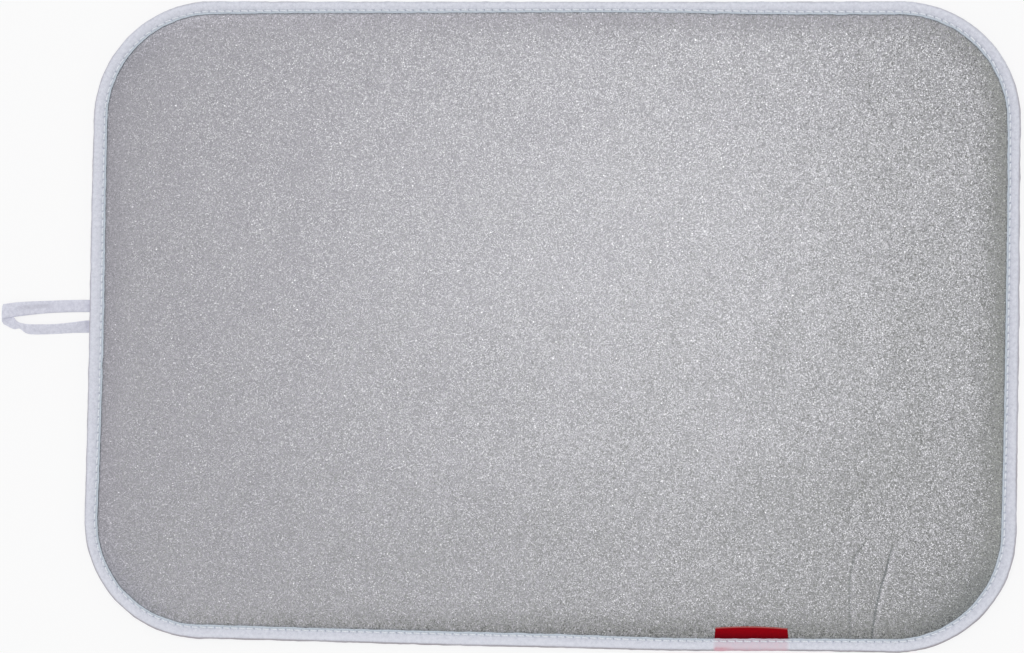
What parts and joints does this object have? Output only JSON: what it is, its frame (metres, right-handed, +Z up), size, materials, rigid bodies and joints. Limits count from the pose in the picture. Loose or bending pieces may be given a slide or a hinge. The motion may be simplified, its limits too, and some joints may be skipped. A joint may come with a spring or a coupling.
{
  "type": "ironing pad",
  "caption": "Flat padded ironing pad with rounded corners, a silver heat-reflecting cover, a white bound edge, a tape loop to hang it by and a folded side label.",
  "frame": {"origin": "middle of the flat underside, on the surface the pad lies on", "axes": "+X along the pad's length, away from the hang loop; +Y across it, away from the label; +Z up, out of the silver face"},
  "size_m": [0.6373, 0.402, 0.0074],
  "materials": {
    "backing_cotton": "matte",
    "foam": "matte",
    "needle_felt": "matte",
    "metallised_cotton": "satin",
    "binding_tape": "matte",
    "sewing_thread": "matte",
    "loop_tape": "matte",
    "woven_label": "matte"
  },
  "bodies": {
    "pad": {"backing_cloth": "backing_cotton", "foam_pad": "foam", "felt_pad": "needle_felt", "cover_cloth": "metallised_cotton", "edge_binding": "binding_tape", "needle_thread": "sewing_thread", "bobbin_thread": "sewing_thread", "hang_loop_back_end": "loop_tape", "hang_loop_front_end": "loop_tape", "label_root": "woven_label"},
    "loop": {"hang_loop": "loop_tape"},
    "label": {"label_flap": "woven_label"}
  },
  "joints": [
    {"name": "loop_swing", "type": "hinge", "parent": "pad", "child": "loop", "pos_m": [-0.2815, 0.0003, 0], "axis": [0, -1, 0], "range_deg": [0, 175]},
    {"name": "label_lift", "type": "hinge", "parent": "pad", "child": "label", "pos_m": [0.1293, -0.192, 0.00667], "axis": [1, 0, 0], "range_deg": [0, 90]}
  ]
}
